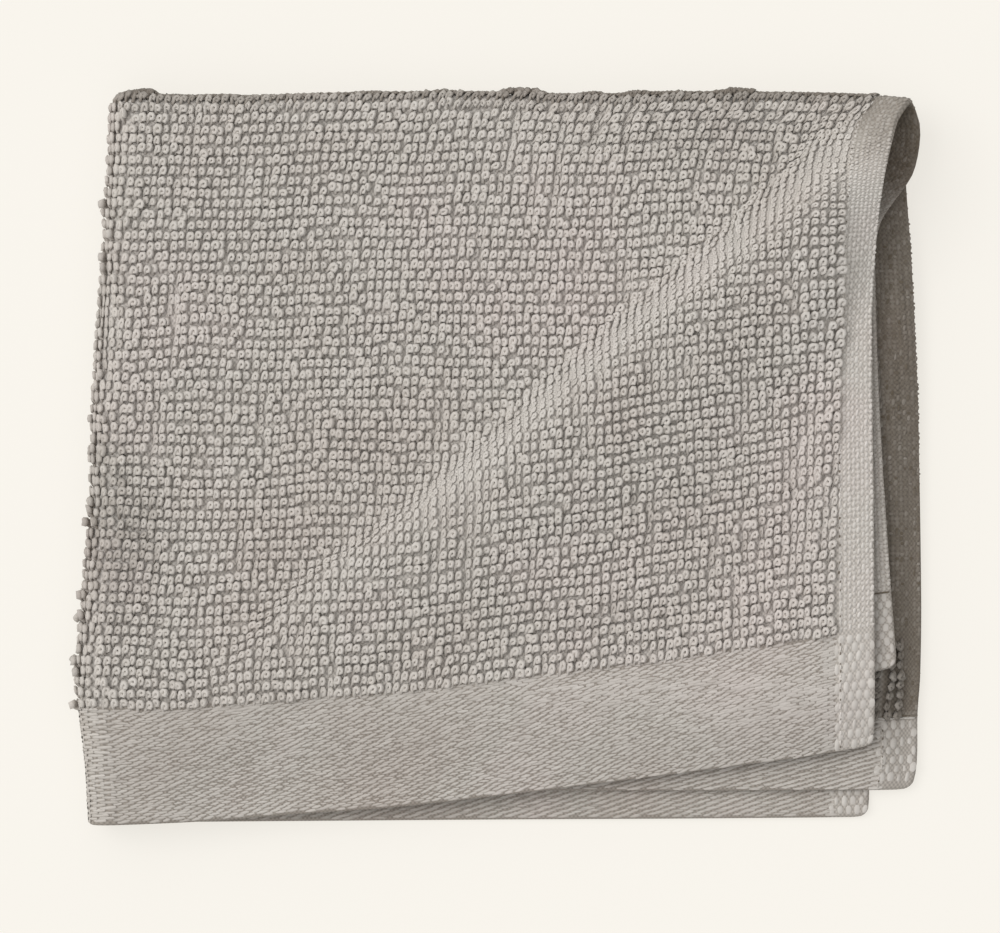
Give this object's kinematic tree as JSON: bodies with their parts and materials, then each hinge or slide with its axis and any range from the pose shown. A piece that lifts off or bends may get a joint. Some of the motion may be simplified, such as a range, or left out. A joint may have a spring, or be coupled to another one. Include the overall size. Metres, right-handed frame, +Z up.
{
  "type": "folded cleaning cloth",
  "caption": "Grey-beige terry cleaning cloth folded into quarters, with flat-woven end borders, turned side hems and a soft diagonal ridge.",
  "frame": {"origin": "centre of the bounding box on the surface the cloth rests on", "axes": "+X from the left fold towards the open hems, +Y towards the top fold, +Z up out of the stack"},
  "size_m": [0.1618, 0.1402, 0.0218],
  "materials": {
    "terry": "matte cotton terry"
  },
  "bodies": {
    "root": {"cloth": "terry"}
  },
  "joints": []
}
